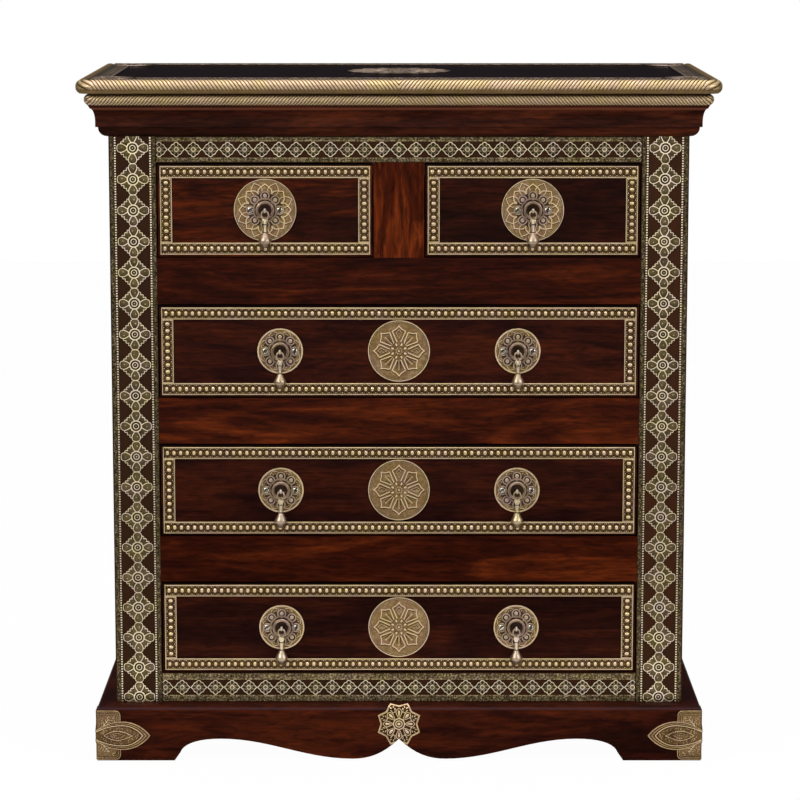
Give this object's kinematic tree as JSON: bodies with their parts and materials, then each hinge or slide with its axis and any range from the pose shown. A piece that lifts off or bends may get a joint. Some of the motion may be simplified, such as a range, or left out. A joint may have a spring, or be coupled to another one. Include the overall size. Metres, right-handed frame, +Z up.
{
  "type": "chest of drawers",
  "caption": "Dark hardwood chest with two small drawers over three wide ones, embossed brass borders, drop pulls, a brass rope edge and a shaped plinth.",
  "frame": {"origin": "middle of the floor area, at the floor", "axes": "+X to the right seen from the front, drawers open towards -Y, +Z up"},
  "size_m": [0.9, 0.45, 0.975],
  "materials": {
    "lacquered_wood": "glossy dark red-brown lacquer over figured hardwood",
    "black_lacquer": "polished, near black",
    "back_wood": "satin dark stain",
    "plain_timber": "planed, waxed",
    "rope_brass": "antique brass, rubbed bright on its ribs",
    "embossed_brass": "embossed antique brass sheet with a dark patina in its hollows",
    "pitted_brass": "old pitted brass sheet and beaded wire",
    "inlay_brass": "embossed brass sheet under lacquer",
    "cast_brass": "cast antique brass, polished where it is handled"
  },
  "bodies": {
    "case": {"side_panel_left": "lacquered_wood", "side_panel_right": "lacquered_wood", "back_panel": "back_wood", "stile_left": "lacquered_wood", "stile_right": "lacquered_wood", "top_rail": "lacquered_wood", "drawer_rails": "lacquered_wood", "bottom_rail": "lacquered_wood", "centre_stile": "lacquered_wood", "runners": "plain_timber", "guides": "plain_timber", "kickers": "plain_timber", "drawer_stops": "plain_timber", "bottom_board": "plain_timber", "top_battens": "plain_timber", "corner_blocks": "plain_timber", "plinth_front": "lacquered_wood", "plinth_sides": "lacquered_wood", "plinth_back": "back_wood", "cornice": "lacquered_wood", "top_board": "black_lacquer", "rope_edging": "rope_brass", "top_inlay": "inlay_brass", "stile_brass": "pitted_brass", "frieze_brass": "pitted_brass", "corner_mounts": "embossed_brass", "plinth_rosette": "embossed_brass"},
    "left_drawer": {"left_drawer_front": "lacquered_wood", "left_drawer_box": "plain_timber", "left_drawer_bottom": "plain_timber", "left_drawer_brass": "embossed_brass", "left_drawer_pulls": "cast_brass"},
    "right_drawer": {"right_drawer_front": "lacquered_wood", "right_drawer_box": "plain_timber", "right_drawer_bottom": "plain_timber", "right_drawer_brass": "embossed_brass", "right_drawer_pulls": "cast_brass"},
    "upper_drawer": {"upper_drawer_front": "lacquered_wood", "upper_drawer_box": "plain_timber", "upper_drawer_bottom": "plain_timber", "upper_drawer_brass": "embossed_brass", "upper_drawer_pulls": "cast_brass"},
    "middle_drawer": {"middle_drawer_front": "lacquered_wood", "middle_drawer_box": "plain_timber", "middle_drawer_bottom": "plain_timber", "middle_drawer_brass": "embossed_brass", "middle_drawer_pulls": "cast_brass"},
    "lower_drawer": {"lower_drawer_front": "lacquered_wood", "lower_drawer_box": "plain_timber", "lower_drawer_bottom": "plain_timber", "lower_drawer_brass": "embossed_brass", "lower_drawer_pulls": "cast_brass"},
    "left_drawer_pendant": {"left_drawer_pendant": "cast_brass"},
    "right_drawer_pendant": {"right_drawer_pendant": "cast_brass"},
    "upper_drawer_pendant_left": {"upper_drawer_pendant_left": "cast_brass"},
    "upper_drawer_pendant_right": {"upper_drawer_pendant_right": "cast_brass"},
    "middle_drawer_pendant_left": {"middle_drawer_pendant_left": "cast_brass"},
    "middle_drawer_pendant_right": {"middle_drawer_pendant_right": "cast_brass"},
    "lower_drawer_pendant_left": {"lower_drawer_pendant_left": "cast_brass"},
    "lower_drawer_pendant_right": {"lower_drawer_pendant_right": "cast_brass"}
  },
  "joints": [
    {"name": "left_drawer_slide", "type": "slide", "parent": "case", "child": "left_drawer", "axis": [0, -1, 0], "range_m": [0, 0.3]},
    {"name": "right_drawer_slide", "type": "slide", "parent": "case", "child": "right_drawer", "axis": [0, -1, 0], "range_m": [0, 0.3]},
    {"name": "upper_drawer_slide", "type": "slide", "parent": "case", "child": "upper_drawer", "axis": [0, -1, 0], "range_m": [0, 0.3]},
    {"name": "middle_drawer_slide", "type": "slide", "parent": "case", "child": "middle_drawer", "axis": [0, -1, 0], "range_m": [0, 0.3]},
    {"name": "lower_drawer_slide", "type": "slide", "parent": "case", "child": "lower_drawer", "axis": [0, -1, 0], "range_m": [0, 0.3]},
    {"name": "left_drawer_swing", "type": "hinge", "parent": "left_drawer", "child": "left_drawer_pendant", "pos_m": [-0.188, -0.1965, 0.7906], "axis": [-1, 0, 0], "range_deg": [0, 85]},
    {"name": "right_drawer_swing", "type": "hinge", "parent": "right_drawer", "child": "right_drawer_pendant", "pos_m": [0.188, -0.1965, 0.7906], "axis": [-1, 0, 0], "range_deg": [0, 85]},
    {"name": "upper_drawer_swing_left", "type": "hinge", "parent": "upper_drawer", "child": "upper_drawer_pendant_left", "pos_m": [-0.168, -0.1965, 0.5906], "axis": [-1, 0, 0], "range_deg": [0, 85]},
    {"name": "upper_drawer_swing_right", "type": "hinge", "parent": "upper_drawer", "child": "upper_drawer_pendant_right", "pos_m": [0.168, -0.1965, 0.5906], "axis": [-1, 0, 0], "range_deg": [0, 85]},
    {"name": "middle_drawer_swing_left", "type": "hinge", "parent": "middle_drawer", "child": "middle_drawer_pendant_left", "pos_m": [-0.168, -0.1965, 0.3906], "axis": [-1, 0, 0], "range_deg": [0, 85]},
    {"name": "middle_drawer_swing_right", "type": "hinge", "parent": "middle_drawer", "child": "middle_drawer_pendant_right", "pos_m": [0.168, -0.1965, 0.3906], "axis": [-1, 0, 0], "range_deg": [0, 85]},
    {"name": "lower_drawer_swing_left", "type": "hinge", "parent": "lower_drawer", "child": "lower_drawer_pendant_left", "pos_m": [-0.168, -0.1965, 0.1906], "axis": [-1, 0, 0], "range_deg": [0, 85]},
    {"name": "lower_drawer_swing_right", "type": "hinge", "parent": "lower_drawer", "child": "lower_drawer_pendant_right", "pos_m": [0.168, -0.1965, 0.1906], "axis": [-1, 0, 0], "range_deg": [0, 85]}
  ]
}
